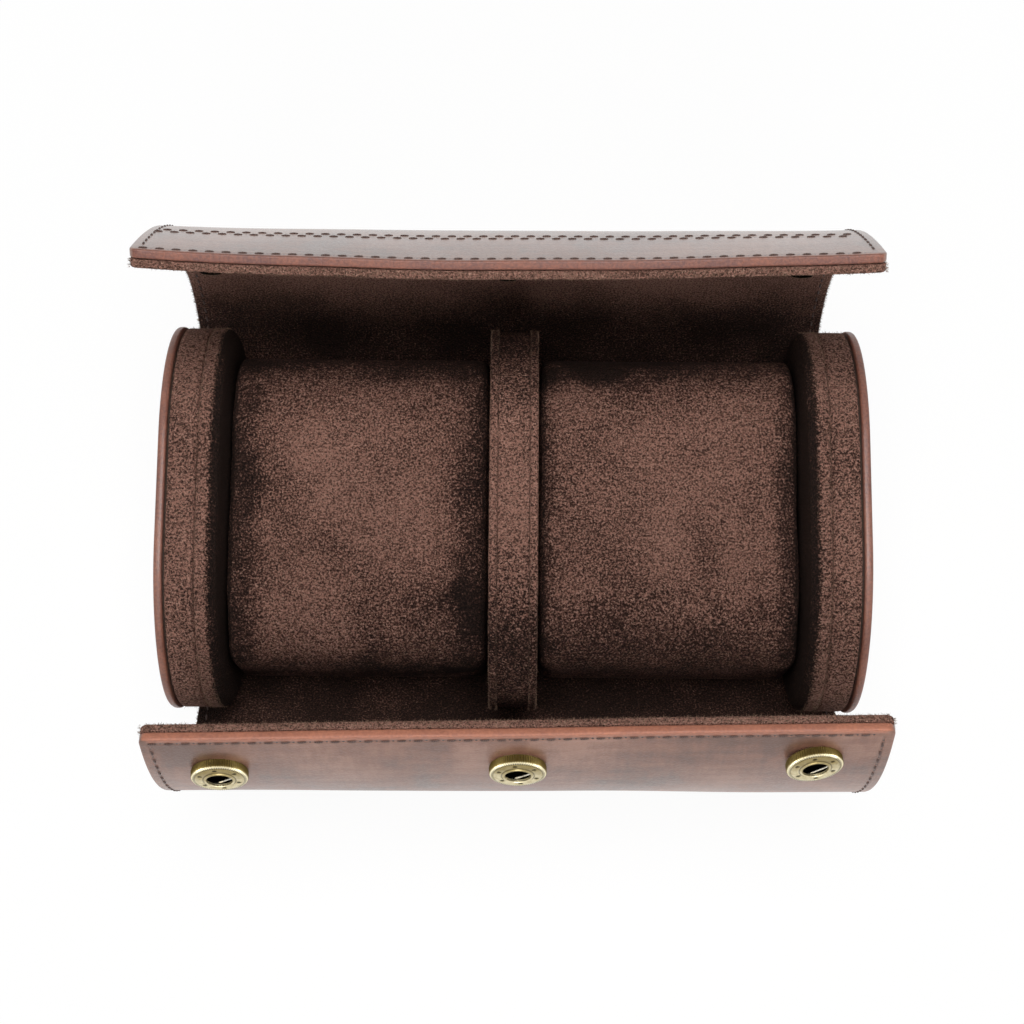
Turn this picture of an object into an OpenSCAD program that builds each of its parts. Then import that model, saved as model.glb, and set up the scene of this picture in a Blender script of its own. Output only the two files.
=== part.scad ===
// Double watch roll: a leather wrap lined with suede around two padded compartments.
// The wrap stands open, as it does when a watch is put in. X runs along the roll,
// +Y points to the back flap, and z = 0 is the underside that the roll stands on.

/* [Case body] */
// Length of the roll over its two leather end discs
case_l = 150; // [146:0.5:156]
// Depth of the suede end panels, front to back
panel_d = 84.4; // [82:0.2:88]
// Height of the suede end panels
panel_h = 63.6; // [62.4:0.2:66]
// Corner radius of the end panels and of the divider
panel_r = 30.8; // [26:0.1:31]
// Thickness of one whole end panel, disc included
panel_t = 12.9; // [11:0.1:16]
// Thickness of the leather disc on the outside of an end panel
disc_t = 1.8; // [1.4:0.1:2.4]
// How far the leather disc stands out past the suede, all round
disc_proud = 0.3; // [0.1:0.1:0.6]
// Width of the suede rim band of an end panel
rim_w = 6.1; // [5:0.1:8]
// Radius that rounds the inner suede edge of an end panel
face_round = 2.2; // [1.5:0.1:3]
// Thickness of the divider between the two compartments
divider_t = 10.4; // [8:0.1:13]
// Thickness of the suede face on each side of the divider
divider_face_t = 1.8; // [1.2:0.1:2.4]
// Thickness of the suede on a panel's rim
suede_t = 1.4; // [1:0.1:1.6]

/* [Wrap] */
// Width of the wrap, which fits between the two leather discs
wrap_w = 146; // [142:0.5:146]
// Thickness of the outer leather
leather_t = 1.8; // [1.5:0.1:2.2]
// Thickness of the stiffener board inside the wrap
board_t = 0.6; // [0.6:0.1:0.8]
// Thickness of the suede lining
lining_t = 1.4; // [1:0.1:1.6]
// Depth of the flat underside between the first bend lines
base_d = 36; // [34:1:38]
// Space between two stretches of the wrap at a bend line
bend_gap = 0.2; // [0.1:0.05:0.4]

/* [Front flap] */
// Length of each stretch along the lining: lower, wall and lip
front_len = [43.5, 33, 32]; // [25:0.5:60]
// Bend radius of each stretch, to the lining, with the flap open
front_r = [36.5, 83, 66]; // [30:0.5:400]
// Angle that each bend line closes by, in degrees
front_close = [13, 21.5, 32]; // [0:0.5:40]

/* [Back flap] */
// Length of each stretch along the lining: lower, wall, top and lip
back_len = [40, 27, 42, 25.5]; // [20:0.5:60]
// Bend radius of each stretch, to the lining, with the flap open
back_r = [34, 61, 105, 200]; // [30:1:400]
// Angle that each bend line closes by, in degrees
back_close = [12.5, 10, 26, 16]; // [0:0.5:40]

/* [Snap fasteners] */
// Distance from the middle snap to each outer one
snap_pitch = 59.5; // [40:0.5:62]
// Distance from the front lip to the middle of a socket
snap_inset = 11.5; // [10:0.5:16]
// Diameter of a socket
socket_d = 11.5; // [10:0.1:13]
// Height of a socket over its raised ring
socket_h = 2.6; // [2.4:0.1:3]
// Diameter of the hole that the stud enters
socket_hole_d = 5.2; // [5:0.1:6]
// Diameter of the stud's head
stud_d = 4.4; // [4:0.1:4.6]
// Diameter of the stud's neck, behind the head
neck_d = 3; // [2.6:0.1:3]
// Diameter of the spring wire in a socket
wire_d = 0.4; // [0.3:0.05:0.5]
// Gap between a socket and its stud's base once snapped shut
seat_gap = 0.2; // [0.1:0.05:0.4]
// Diameter of the flange that holds a snap in the wrap
flange_d = 9; // [7:0.1:10]

/* [Watch pillows] */
// Gap between a pillow and each side of its compartment
pillow_gap = 0.5; // [0.3:0.1:1.5]
// Depth of a pillow, front to back
pillow_d = 70; // [60:0.5:72]
// Height of a pillow
pillow_h = 49.5; // [40:0.5:52]
// Distance that the pillows sit behind the middle
pillow_back = 0.5; // [0:0.1:2]
// Corner radius along the top of a pillow
pillow_top_r = 14; // [8:0.5:18]
// Corner radius along the bottom of a pillow
pillow_bottom_r = 22; // [14:0.5:24]
// Thickness of the suede cover around the foam
cover_t = 1.2; // [0.8:0.1:1.6]
// Clearance between a pillow and the lining that it rests on
pillow_clear = 0.1; // [0.05:0.05:0.5]

/* [Hidden] */

$fn = 96;

leather_color = "#6b4a3f";
suede_color = "#4a3229";
board_color = "#b5a58c";
foam_color = "#d9d4c7";
brass_color = "#8f7a45";
wire_color = "#c9c2ae";

wrap_t = leather_t + board_t + lining_t;
// Depths of the wrap's layers, measured outward from the lining's face
lining_layer = [0, lining_t];
board_layer = [lining_t, lining_t + board_t];
leather_layer = [lining_t + board_t, wrap_t];

panel_z = wrap_t + panel_h / 2;
end_x = case_l / 2;
disc_x = end_x - disc_t;
// Groove beside a leather disc, where the rim's suede turns in
groove_w = 0.4;
rim_x = disc_x - groove_w;
face_x = rim_x - rim_w;
inner_x = end_x - panel_t;
// Thickness of an end panel's face in front of its core
face_plate_t = 1.1;
// Depth of the divider's rim band below the edges of its two faces
divider_rim_inset = 0.4;

front_flap = [front_len, front_r, front_close];
back_flap = [back_len, back_r, back_close];
FRONT = -1;
BACK = 1;
LIP_FRONT = 2;
LIP_BACK = 3;

// Bores of the snaps: tube, hole in leather or lining, recess in the board, flange
shank_d = 3.4;
bore_d = 3.6;
recess_d = flange_d + 0.4;
flange_t = 0.3;
// Play between a flat flange and the curved layer that it clamps
flange_play = 0.2;
stud_play = 0.15;
// Play between a pillow's foam and its cover
foam_play = 0.05;
// Inside of a socket: floor, room for the spring, plate and raised ring over it
socket_floor_t = 0.4;
socket_room_r = 4.6;
socket_plate_t = 0.3;
socket_ring_h = 0.45;
socket_plate_top = socket_h - socket_ring_h;
spring_z = socket_plate_top - socket_plate_t - 0.3;
spring_off = neck_d / 2 + 0.25 + wire_d / 2;
eyelet_bore_d = 2.2;
eyelet_collar_d = 4.7;
eyelet_collar_t = 0.3;
// How deep the flat top of a stud's head stands in its socket
stud_reach = socket_h + seat_gap - 0.8;
stud_head_t = 0.45;
snap_x = [-snap_pitch, 0, snap_pitch];

// Geometry of a flap. A flap is a chain of arcs that starts at the edge of the flat
// underside. A state is [u, z, heading]: u is the distance out from the middle of the
// underside, z the height of the lining's face, and the heading turns up and inward.

// Arc angle of stretch k
function sweep(flap, k) = flap[0][k] / flap[1][k] * 180 / PI;

// State after going along an arc of radius r through the angle da
function along(p, r, da) = [
    p[0] + r * (sin(p[2] + da) - sin(p[2])),
    p[1] + r * (cos(p[2]) - cos(p[2] + da)),
    p[2] + da
];

// State at the start of stretch k. closed is 0 with the flap open and 1 with it closed
function start(flap, k, closed) =
    k == 0
        ? [base_d / 2, wrap_t, closed * flap[2][0]]
        : let (p = along(start(flap, k - 1, closed), flap[1][k - 1], sweep(flap, k - 1)))
            [p[0], p[1], p[2] + closed * flap[2][k]];

// State on the last stretch, at the distance back from its lip
function from_lip(flap, k, closed, back) =
    along(start(flap, k, closed), flap[1][k], (flap[0][k] - back) / flap[1][k] * 180 / PI);

// Point at the depth t outward of a state, in the flap's own plane
function outward(p, t) = [p[0] + t * sin(p[2]), p[1] - t * cos(p[2])];

// The sockets on the open front lip: a point [y, z] on the leather and the angle that
// tips +Z onto the leather's outward direction
socket_state = from_lip(front_flap, LIP_FRONT, 0, snap_inset);
socket_point = outward(socket_state, wrap_t);
socket_tip = 180 - socket_state[2];

// Each stud is set where its socket comes to lie with both flaps closed, carried back to
// the open lip by undoing the turn that closes the back flap
closed_socket = from_lip(front_flap, LIP_FRONT, 1, snap_inset);
closed_seat = outward(closed_socket, wrap_t + socket_h + seat_gap);
lip_closed = start(back_flap, LIP_BACK, 1);
lip_open = start(back_flap, LIP_BACK, 0);
open_turn = lip_open[2] - lip_closed[2];
seat_from_hinge = [-closed_seat[0] - lip_closed[0], closed_seat[1] - lip_closed[1]];
stud_point = [
    lip_open[0] + cos(open_turn) * seat_from_hinge[0] - sin(open_turn) * seat_from_hinge[1],
    lip_open[1] + sin(open_turn) * seat_from_hinge[0] + cos(open_turn) * seat_from_hinge[1]
];
// Direction [y, z] in which the open studs point, away from the lining
stud_turn = open_turn - closed_socket[2];
stud_dir = [-sin(stud_turn), cos(stud_turn)];
stud_tip = atan2(-stud_dir[0], stud_dir[1]);
// Distance from a stud's base to the face of the lining behind it
lip_centre = [
    lip_open[0] - back_r[LIP_BACK] * sin(lip_open[2]),
    lip_open[1] + back_r[LIP_BACK] * cos(lip_open[2])
];
stud_base_t = back_r[LIP_BACK] - norm(stud_point - lip_centre);

// Turns a drawing in the (Y, Z) plane into a solid along X, centred on x = 0
module along_x(length) {
    rotate([90, 0, 90])
        linear_extrude(length, center = true)
            children();
}

// Ring sector between the radii r0 and r1 around c, from the angle a0 to a1
module ring_sector(c, r0, r1, a0, a1) {
    reach = r1 * 1.5;
    mid = (a0 + a1) / 2;
    translate(c)
        intersection() {
            difference() {
                circle(r1);
                circle(r0);
            }
            polygon([
                [0, 0],
                [reach * cos(a0), reach * sin(a0)],
                [reach * cos(mid), reach * sin(mid)],
                [reach * cos(a1), reach * sin(a1)]
            ]);
        }
}

// One layer of one stretch of a flap, with the flap open
module flap_layer(flap, side, k, layer) {
    p = start(flap, k, 0);
    r = flap[1][k];
    trim = bend_gap / 2 / r * 180 / PI;
    last = k == len(flap[0]) - 1;
    centre = [p[0] - r * sin(p[2]), p[1] + r * cos(p[2])];
    first_angle = p[2] - 90 + trim;
    last_angle = p[2] - 90 + sweep(flap, k) - (last ? 0 : trim);
    mirror([0, side == FRONT ? 1 : 0, 0])
        along_x(wrap_w)
            ring_sector(centre, r + layer[0], r + layer[1], first_angle, last_angle);
}

// One layer of the flat underside
module base_layer(layer) {
    w = base_d - bend_gap;
    translate([-wrap_w / 2, -w / 2, wrap_t - layer[1]])
        cube([wrap_w, w, layer[1] - layer[0]]);
}

// Puts its children at the three sockets, +Z out of the leather
module at_sockets() {
    for (x = snap_x)
        translate([x, -socket_point[0], socket_point[1]])
            rotate([socket_tip, 0, 0])
                children();
}

// Puts its children at the three studs, +Z the way a stud points
module at_studs() {
    for (x = snap_x)
        translate([x, stud_point[0], stud_point[1]])
            rotate([stud_tip, 0, 0])
                children();
}

// Outline of a panel, a rectangle with four round corners, drawn in by inset
module panel_outline(inset) {
    half_y = panel_d / 2 - inset;
    half_z = panel_h / 2 - inset;
    r = panel_r - inset;
    square([2 * half_y, 2 * (half_z - r)], center = true);
    square([2 * (half_y - r), 2 * half_z], center = true);
    for (y = [-1, 1], z = [-1, 1])
        translate([y * (half_y - r), z * (half_z - r)])
            circle(r);
}

// Slab with the panel's outline between two places along X
module panel_slab(x0, x1, inset) {
    translate([(x0 + x1) / 2, 0, panel_z])
        along_x(abs(x1 - x0))
            panel_outline(inset);
}

// Slab with the panel's outline and a rounded edge on its far side. It starts at x0 on
// the left of the roll and goes t toward the middle
module rounded_slab(x0, t, f) {
    steps = 4;
    hull()
        for (i = [0:steps]) {
            a = 90 * i / steps;
            panel_slab(x0, x0 + t - f + f * sin(a), f * (1 - cos(a)), $fn = 48);
        }
}

// Leather disc closing the outside of an end panel
module end_disc() {
    color(leather_color)
        panel_slab(-end_x, -disc_x, -disc_proud);
}

// Stiff core that carries an end panel's suede
module end_core() {
    color(foam_color)
        panel_slab(-disc_x, -inner_x - face_plate_t - face_round, suede_t);
}

// Suede band around the rim of an end panel
module end_rim() {
    color(suede_color)
        difference() {
            panel_slab(-rim_x, -face_x, 0);
            panel_slab(-rim_x - 1, -face_x + 1, suede_t);
        }
}

// Suede face toward the compartment, padded and rounded over the panel's edge
module end_face() {
    color(suede_color)
        difference() {
            rounded_slab(-face_x, face_x - inner_x, face_round);
            panel_slab(-face_x - 1, -inner_x - face_plate_t - face_round, suede_t);
        }
}

// Stiff core of the divider
module divider_core() {
    half = divider_t / 2 - divider_face_t;
    color(foam_color)
        panel_slab(-half, half, suede_t);
}

// Suede band around the divider's rim
module divider_rim() {
    half = divider_t / 2 - divider_face_t;
    color(suede_color)
        difference() {
            panel_slab(-half, half, divider_rim_inset);
            panel_slab(-half - 1, half + 1, suede_t);
        }
}

// Suede face on one side of the divider
module divider_face(side) {
    inner = side * (divider_t / 2 - divider_face_t);
    color(suede_color)
        panel_slab(inner, side * divider_t / 2, 0);
}

// Hole through the wrap at each socket, at the depths z0 to z1 of the socket's own axis
module socket_holes(d, z0, z1) {
    at_sockets()
        translate([0, 0, z0])
            cylinder(h = z1 - z0, d = d);
}

// Hole through the wrap at each stud, at the depths z0 to z1 behind the stud's base
module stud_holes(d, z0, z1) {
    at_studs()
        translate([0, 0, -stud_base_t - z1])
            cylinder(h = z1 - z0, d = d);
}

module front_lip_leather() {
    color(leather_color)
        difference() {
            flap_layer(front_flap, FRONT, LIP_FRONT, leather_layer);
            socket_holes(bore_d, -leather_t - 0.3, 1);
        }
}

module front_lip_board() {
    color(board_color)
        difference() {
            flap_layer(front_flap, FRONT, LIP_FRONT, board_layer);
            socket_holes(recess_d, -wrap_t, 1);
        }
}

module back_lip_board() {
    color(board_color)
        difference() {
            flap_layer(back_flap, BACK, LIP_BACK, board_layer);
            stud_holes(recess_d, -1, wrap_t);
        }
}

module back_lip_lining() {
    color(suede_color)
        difference() {
            flap_layer(back_flap, BACK, LIP_BACK, lining_layer);
            stud_holes(bore_d, -1, lining_t + 0.3);
        }
}

// Brass socket: a cup with a raised ring around the hole that the stud enters
module socket() {
    rim = socket_d / 2;
    hole = socket_hole_d / 2;
    chamfer = 0.5;
    plate_low = socket_plate_top - socket_plate_t;
    ring_foot = hole + 1.05;
    ring_top = hole + 0.85;
    rotate_extrude()
        polygon([
            [bore_d / 2, 0], [rim - chamfer, 0], [rim, 0.35], [rim, plate_low - chamfer],
            [rim - chamfer, socket_plate_top + 0.1], [rim - 1.4, socket_plate_top],
            [ring_foot, socket_plate_top], [ring_top, socket_h], [hole, socket_h],
            [hole, plate_low], [socket_room_r, plate_low],
            [socket_room_r, socket_floor_t], [bore_d / 2, socket_floor_t]
        ]);
}

module snap_sockets() {
    color(brass_color)
        at_sockets()
            socket();
}

// Spring of one socket: two straight wires that grip the stud's neck, with a bar across
module socket_spring() {
    leg = socket_room_r - 1;
    translate([0, 0, spring_z]) {
        for (side = [-1, 1])
            translate([side * spring_off, leg, 0])
                rotate([90, 0, 0])
                    cylinder(h = 2 * leg, d = wire_d, $fn = 24);
        translate([-spring_off, leg - wire_d, 0])
            rotate([0, 90, 0])
                cylinder(h = 2 * spring_off, d = 0.9 * wire_d, $fn = 24);
    }
}

module snap_springs() {
    color(wire_color)
        at_sockets()
            socket_spring();
}

// Eyelet that clamps a socket to the leather from behind
module eyelet() {
    top = socket_floor_t + eyelet_collar_t;
    low = leather_t + flange_play + flange_t;
    difference() {
        union() {
            translate([0, 0, -low])
                cylinder(h = flange_t, d = flange_d);
            translate([0, 0, -low])
                cylinder(h = low + top, d = shank_d);
            translate([0, 0, socket_floor_t])
                cylinder(h = eyelet_collar_t, d = eyelet_collar_d);
        }
        translate([0, 0, -low - 1])
            cylinder(h = low + top + 2, d = eyelet_bore_d);
    }
}

module snap_eyelets() {
    color(brass_color)
        at_sockets()
            eyelet();
}

// Brass stud: a round base on the lining, a neck and a head that the spring holds
module stud() {
    base = flange_d / 2;
    neck = neck_d / 2;
    head = stud_d / 2;
    head_low = stud_reach - stud_head_t;
    underside = stud_play - stud_base_t;
    rotate_extrude()
        polygon([
            [0, underside], [base + 0.2, underside], [base + 0.6, -0.2],
            [base + 0.3, 0], [neck + 0.3, 0], [neck, 0.3],
            [neck, head_low], [head, head_low + 0.15], [head, stud_reach - 0.15],
            [head - 0.25, stud_reach], [0, stud_reach]
        ]);
}

module snap_studs() {
    color(brass_color)
        at_studs()
            stud();
}

// Rivet that holds a stud from inside the wrap, under the outer leather
module stud_rivet() {
    below = lining_t + flange_play + flange_t;
    translate([0, 0, -stud_base_t - below]) {
        cylinder(h = below + stud_play, d = shank_d);
        cylinder(h = flange_t, d = flange_d);
    }
}

module snap_stud_rivets() {
    color(brass_color)
        at_studs()
            stud_rivet();
}

// Section of a pillow, drawn in by inset, with the origin at the middle of its underside
module pillow_outline(inset) {
    half = pillow_d / 2 - inset;
    low = inset;
    top = pillow_h - inset;
    low_r = pillow_bottom_r - inset;
    top_r = pillow_top_r - inset;
    translate([-(half - low_r), low])
        square([2 * (half - low_r), top - low]);
    translate([-(half - top_r), low + low_r])
        square([2 * (half - top_r), top - low - low_r]);
    translate([-half, low + low_r])
        square([2 * half, top - low - low_r - top_r]);
    for (side = [-1, 1]) {
        translate([side * (half - low_r), low + low_r])
            circle(low_r);
        translate([side * (half - top_r), top - top_r])
            circle(top_r);
    }
}

// Block with the pillow's section in the compartment on one side
module pillow_block(side, inset) {
    x0 = divider_t / 2 + pillow_gap;
    x1 = inner_x - pillow_gap;
    translate([side * (x0 + x1) / 2, pillow_back, wrap_t + pillow_clear])
        along_x(x1 - x0 - 2 * inset)
            pillow_outline(inset);
}

module pillow_cover(side) {
    color(suede_color)
        difference() {
            pillow_block(side, 0);
            pillow_block(side, cover_t);
        }
}

module pillow_foam(side) {
    color(foam_color)
        pillow_block(side, cover_t + foam_play);
}

module leather(flap, side, k) {
    color(leather_color)
        flap_layer(flap, side, k, leather_layer);
}

module board(flap, side, k) {
    color(board_color)
        flap_layer(flap, side, k, board_layer);
}

module lining(flap, side, k) {
    color(suede_color)
        flap_layer(flap, side, k, lining_layer);
}

color(leather_color) base_layer(leather_layer);  // base_leather
color(board_color) base_layer(board_layer);  // base_board
color(suede_color) base_layer(lining_layer);  // base_lining
end_disc();  // end_disc_left
end_core();  // end_core_left
end_rim();  // end_rim_left
end_face();  // end_face_left
mirror([1, 0, 0]) end_disc();  // end_disc_right
mirror([1, 0, 0]) end_core();  // end_core_right
mirror([1, 0, 0]) end_rim();  // end_rim_right
mirror([1, 0, 0]) end_face();  // end_face_right
divider_core();
divider_rim();
divider_face(-1);  // divider_face_left
divider_face(1);  // divider_face_right
leather(front_flap, FRONT, 0);  // front_lower_leather
board(front_flap, FRONT, 0);  // front_lower_board
lining(front_flap, FRONT, 0);  // front_lower_lining
leather(front_flap, FRONT, 1);  // front_wall_leather
board(front_flap, FRONT, 1);  // front_wall_board
lining(front_flap, FRONT, 1);  // front_wall_lining
front_lip_leather();
front_lip_board();
lining(front_flap, FRONT, LIP_FRONT);  // front_lip_lining
leather(back_flap, BACK, 0);  // back_lower_leather
board(back_flap, BACK, 0);  // back_lower_board
lining(back_flap, BACK, 0);  // back_lower_lining
leather(back_flap, BACK, 1);  // back_wall_leather
board(back_flap, BACK, 1);  // back_wall_board
lining(back_flap, BACK, 1);  // back_wall_lining
leather(back_flap, BACK, 2);  // back_top_leather
board(back_flap, BACK, 2);  // back_top_board
lining(back_flap, BACK, 2);  // back_top_lining
leather(back_flap, BACK, LIP_BACK);  // back_lip_leather
back_lip_board();
back_lip_lining();
snap_sockets();
snap_springs();
snap_eyelets();
snap_studs();
snap_stud_rivets();
pillow_cover(-1);  // pillow_left_cover
pillow_foam(-1);  // pillow_left_foam
pillow_cover(1);  // pillow_right_cover
pillow_foam(1);  // pillow_right_foam
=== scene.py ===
import math
import random

import bpy
from mathutils import Matrix, Vector, noise

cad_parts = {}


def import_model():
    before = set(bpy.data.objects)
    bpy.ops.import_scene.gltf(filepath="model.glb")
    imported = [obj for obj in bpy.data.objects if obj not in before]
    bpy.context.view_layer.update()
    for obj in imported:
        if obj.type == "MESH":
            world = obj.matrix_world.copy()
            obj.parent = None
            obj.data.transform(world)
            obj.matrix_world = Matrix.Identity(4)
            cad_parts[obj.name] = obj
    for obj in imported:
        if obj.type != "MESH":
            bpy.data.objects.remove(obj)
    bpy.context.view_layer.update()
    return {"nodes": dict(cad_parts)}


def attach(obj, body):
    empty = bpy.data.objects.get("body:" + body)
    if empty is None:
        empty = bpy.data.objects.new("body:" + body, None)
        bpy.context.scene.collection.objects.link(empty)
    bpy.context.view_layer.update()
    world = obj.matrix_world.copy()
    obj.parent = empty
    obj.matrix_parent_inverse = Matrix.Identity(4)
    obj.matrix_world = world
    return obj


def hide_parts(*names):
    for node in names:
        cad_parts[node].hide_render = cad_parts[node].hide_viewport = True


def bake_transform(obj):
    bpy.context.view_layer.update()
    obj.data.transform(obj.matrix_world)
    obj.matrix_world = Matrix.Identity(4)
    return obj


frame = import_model()


# Outer leather of the wrap
# One hide of oiled pull-up leather, cut as a rectangle and run around both compartments from
# the front lip to the back lip. It is bent by hand along seven lines, and its cut edges are
# rounded and burnished to a redder brown.
WRAP_WIDTH = 0.146
WRAP_THICKNESS = 0.0038
# Depths run outward from the lining's face. Leather and lining each take some of the board
# between them, which shows only as a dark line.
LEATHER_DEPTH = (0.0019, 0.0038)
LEATHER_ROUND = 0.00042
BASE_HALF = 0.018
STRETCHES = {
    "front": ((0.0435, 0.0365), (0.033, 0.083), (0.032, 0.066)),
    "back": ((0.040, 0.034), (0.027, 0.061), (0.042, 0.105), (0.0255, 0.200)),
}
SIDE = {"front": -1, "back": 1}
FLAP_BODIES = {
    "front": ("case", "front_lower", "front_wall", "front_lip"),
    "back": ("case", "back_lower", "back_wall", "back_top", "back_lip"),
}
FLAP_LENGTH = {flap: sum(length for length, _ in parts) for flap, parts in STRETCHES.items()}
SEGMENTS = (
    ("front_bottom", "front", 0),
    ("front_wall", "front", 1),
    ("front_lip", "front", 2),
    ("back_bottom", "back", 0),
    ("back_wall", "back", 1),
    ("back_top", "back", 2),
    ("back_lip", "back", 3),
)
RING_STEP = 0.0020
NEAR = 1e-6
COLUMNS = 73
CORNER_RADIUS = 0.0016
# A hand-bent wrap is never quite true. Toward its lip the front flap stands off and leans in
# at its right end, the back flap is bowed out at both ends, and both have crept sideways.
# The hide is cut a little wider at the front than at the back.
STAND = {"front": 0.0010, "back": -0.0002}
LEAN = {"front": 0.0018, "back": -0.0001}
BOW = {"front": 0.0, "back": 0.0019}
LEAN_START = 0.040
CREEP = {"front": 0.0012, "back": -0.0014}
FLARE = {"front": 0.007, "back": -0.007}
CREEP_RUN = 0.030
WAVE = 0.00030
WAVE_LENGTH = 0.033


def along(state, radius, length):
    """State [u, z, heading] further on along an arc. u runs outward and z up."""
    u, z, heading = state
    turned = heading + length / radius
    return (
        u + radius * (math.sin(turned) - math.sin(heading)),
        z + radius * (math.cos(heading) - math.cos(turned)),
        turned,
    )


def arcs(flap):
    """Each stretch of a flap: its start along the lining, the state there, length, radius."""
    state, run, found = (BASE_HALF, WRAP_THICKNESS, 0.0), 0.0, []
    for length, radius in STRETCHES[flap]:
        found.append((run, state, length, radius))
        state, run = along(state, radius, length), run + length
    return found


def state_at(flap, run):
    """State of the lining's face at a run from the edge of the flat underside."""
    if run <= 0:
        return (BASE_HALF + run, WRAP_THICKNESS, 0.0)
    start, state, _, radius = [arc for arc in arcs(flap) if arc[0] <= run + 1e-9][-1]
    return along(state, radius, run - start)


def hinge_run(flap, joint):
    return sum(length for length, _ in STRETCHES[flap][:joint])


def segment_runs(flap, joint):
    """The stretch of the wrap that bends at one joint: from and to, halfway to its neighbours."""
    lengths = [length for length, _ in STRETCHES[flap]]
    hinge = hinge_run(flap, joint)
    low = -BASE_HALF if joint == 0 else hinge - lengths[joint - 1] / 2
    last = joint == len(lengths) - 1
    return low, FLAP_LENGTH[flap] if last else hinge + lengths[joint] / 2


def spread(flap, x, run):
    """How far the wrap stands out from its plain arcs, from its lean, bow and waviness."""
    share = max(0.0, (run - LEAN_START) / (FLAP_LENGTH[flap] - LEAN_START))
    across = x / (WRAP_WIDTH / 2)
    ripple = noise.noise(Vector((x, run * 0.5, SIDE[flap] * 0.2)) / WAVE_LENGTH)
    free = min(1.0, max(0.0, run / LEAN_START))
    untrue = STAND[flap] + BOW[flap] * across ** 2 - LEAN[flap] * across
    return share ** 2 * untrue + WAVE * free * ripple


def sideways(flap, x, run):
    """How far a point of the wrap lies to the side of its place, from creep and the hide's cut."""
    share = min(1.0, max(0.0, run / CREEP_RUN))
    return share ** 2 * (3 - 2 * share) * (CREEP[flap] + FLARE[flap] * x)


def plain_spot(flap, run, depth):
    """Point of the plain arcs at x = 0, a run along the lining and a depth outward of its face."""
    u, z, heading = state_at(flap, run)
    return (0, SIDE[flap] * (u + depth * math.sin(heading)), z - depth * math.cos(heading))


def spot(flap, x, run, depth):
    """Point of the wrap as it really lies, at x, a run along its lining and a depth."""
    _, y, z = plain_spot(flap, run, depth + spread(flap, x, run))
    return Vector((x + sideways(flap, x, run), y, z))


def unrolled(flap, point):
    """Run and depth of a point on the plain arcs."""
    u, z = SIDE[flap] * point.y, point.z
    if u <= BASE_HALF:
        return u - BASE_HALF, WRAP_THICKNESS - z
    best = None
    for start, (u0, z0, heading), length, radius in arcs(flap):
        centre = (u0 - radius * math.sin(heading), z0 + radius * math.cos(heading))
        away = (u - centre[0], z - centre[1])
        turned = math.atan2(away[0], -away[1]) - heading
        off = max(0.0, -turned * radius, turned * radius - length)
        if best is None or off < best[0] - 1e-7:
            best = (off, start + turned * radius, math.hypot(*away) - radius)
    return best[1:]


def bare_primitive(add, **settings):
    """Adds a primitive alone in the selection and returns its object."""
    bpy.ops.object.select_all(action="DESELECT")
    add(**settings)
    return bpy.context.object


def only(piece):
    """Selects one object and makes it active."""
    bpy.ops.object.select_all(action="DESELECT")
    piece.select_set(True)
    bpy.context.view_layer.objects.active = piece


def settle(piece):
    """Moves an object's place into its mesh."""
    only(piece)
    bpy.ops.object.transform_apply(location=True, rotation=True, scale=True)


def edit(piece, action="SELECT"):
    """Opens a piece in edit mode with everything selected, or nothing."""
    only(piece)
    bpy.ops.object.mode_set(mode="EDIT")
    bpy.ops.mesh.select_all(action=action)


def close_edit():
    bpy.ops.object.mode_set(mode="OBJECT")


def pick_edges(piece, test):
    """Opens a piece in edit mode with the edges selected whose two ends pass the test."""
    edit(piece, "DESELECT")
    bpy.ops.mesh.select_mode(type="EDGE")
    close_edit()
    co = [v.co for v in piece.data.vertices]
    for edge in piece.data.edges:
        edge.select = test(*(co[i] for i in edge.vertices))
    bpy.ops.object.mode_set(mode="EDIT")


def outward_normals(piece):
    edit(piece)
    bpy.ops.mesh.normals_make_consistent(inside=False)
    close_edit()


def smooth(piece, angle):
    only(piece)
    bpy.ops.object.shade_smooth_by_angle(angle=math.radians(angle))


def record(piece, name, place_of):
    """Records a place for each point of a piece, for its paint."""
    places = piece.data.attributes.new(name, "FLOAT_VECTOR", "POINT")
    for vertex, place in zip(piece.data.vertices, places.data):
        place.vector = place_of(vertex.co)


def mark_flat(piece, flap):
    """Records where each point of a piece lies on the flat wrap."""
    def flat_place(co):
        run, out = unrolled(flap, co)
        return co.x, SIDE[flap] * (run + BASE_HALF), out

    record(piece, "flat", flat_place)


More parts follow.
